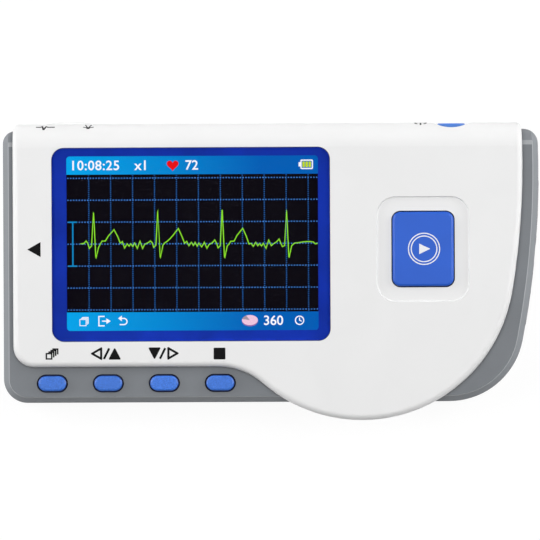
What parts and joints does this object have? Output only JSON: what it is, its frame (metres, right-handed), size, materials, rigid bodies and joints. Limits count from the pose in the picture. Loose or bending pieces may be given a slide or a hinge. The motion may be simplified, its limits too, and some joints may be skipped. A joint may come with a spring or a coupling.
{
  "type": "ecg home monitor",
  "caption": "Flat handheld ECG monitor with a white lobed cover over a grey body, colour screen, start key, small keys, electrodes and a battery bay.",
  "frame": {"origin": "middle of the bounding box at the back face", "axes": "+X to the right of the reader, +Y to the side with sockets and power key, +Z out of the screen"},
  "size_m": [0.1254, 0.07, 0.0202],
  "materials": {
    "white_shell": "satin moulded plastic",
    "grey_shell": "fine moulded texture",
    "lens": "clear lens with a printed blue border",
    "black_foam": "closed-cell foam",
    "steel_sheet": "stamped sheet",
    "screen_glass": "polished",
    "white_tray": "plain",
    "amber_film": "polyimide film",
    "socket_plastic": "plain",
    "board_green": "solder mask",
    "chip_black": "moulded package",
    "passive_tan": "ceramic",
    "cell_can": "printed sleeve",
    "contact_metal": "nickel-plated spring sheet",
    "electrode_steel": "fine brushed",
    "screw_steel": "zinc plated",
    "key_blue": "satin moulded plastic",
    "key_light_blue": "satin moulded plastic",
    "plunger_black": "plain"
  },
  "bodies": {
    "housing": {"front_cover": "white_shell", "front_frame": "grey_shell", "rear_case": "grey_shell", "display_window": "lens", "window_gasket": "black_foam", "lcd_frame": "steel_sheet", "lcd_panel": "screen_glass", "lcd_backlight": "white_tray", "lcd_flex": "amber_film", "flex_connector": "socket_plastic", "main_board": "board_green", "board_chips": "chip_black", "board_passives": "passive_tan", "amplifier_shield": "steel_sheet", "buzzer": "chip_black", "key_switches": "steel_sheet", "power_switch": "steel_sheet", "lead_socket": "socket_plastic", "usb_socket": "steel_sheet", "usb_tongue": "socket_plastic", "battery_1": "cell_can", "battery_2": "cell_can", "positive_contact": "contact_metal", "negative_spring": "contact_metal", "bridge_contact": "contact_metal", "electrode_springs": "contact_metal", "left_electrode": "electrode_steel", "finger_electrode": "electrode_steel", "palm_electrode": "electrode_steel", "case_screws": "screw_steel", "board_screws": "screw_steel", "port_cover_pin": "screw_steel"},
    "start_button": {"start_key": "key_blue", "start_plunger": "plunger_black"},
    "menu_button": {"menu_key": "key_light_blue", "menu_plunger": "plunger_black"},
    "left_up_button": {"left_up_key": "key_light_blue", "left_up_plunger": "plunger_black"},
    "down_right_button": {"down_right_key": "key_light_blue", "down_right_plunger": "plunger_black"},
    "select_button": {"select_key": "key_light_blue", "select_plunger": "plunger_black"},
    "power_button": {"power_key": "key_light_blue", "power_plunger": "plunger_black"},
    "port_flap": {"port_cover": "white_shell"},
    "battery_door": {"battery_cover": "grey_shell"}
  },
  "joints": [
    {"name": "start_press", "type": "slide", "parent": "housing", "child": "start_button", "axis": [0, 0, -1], "range_m": [0, 0.0005], "stiffness_N_per_m": 500, "springref_m": -0.0004},
    {"name": "menu_press", "type": "slide", "parent": "housing", "child": "menu_button", "axis": [0, 0, -1], "range_m": [0, 0.00035], "stiffness_N_per_m": 500, "springref_m": -0.0003},
    {"name": "left_up_press", "type": "slide", "parent": "housing", "child": "left_up_button", "axis": [0, 0, -1], "range_m": [0, 0.00035], "stiffness_N_per_m": 500, "springref_m": -0.0003},
    {"name": "down_right_press", "type": "slide", "parent": "housing", "child": "down_right_button", "axis": [0, 0, -1], "range_m": [0, 0.00035], "stiffness_N_per_m": 500, "springref_m": -0.0003},
    {"name": "select_press", "type": "slide", "parent": "housing", "child": "select_button", "axis": [0, 0, -1], "range_m": [0, 0.00035], "stiffness_N_per_m": 500, "springref_m": -0.0003},
    {"name": "power_press", "type": "slide", "parent": "housing", "child": "power_button", "axis": [0, -1, 0], "range_m": [0, 0.0004], "stiffness_N_per_m": 500, "springref_m": -0.0003},
    {"name": "flap_hinge", "type": "hinge", "parent": "housing", "child": "port_flap", "pos_m": [-0.0475, 0.03365, 0.0063], "axis": [-1, 0, 0], "range_deg": [0, 105]},
    {"name": "battery_door_slide", "type": "slide", "parent": "housing", "child": "battery_door", "axis": [0, -1, 0], "range_m": [0, 0.03]}
  ]
}
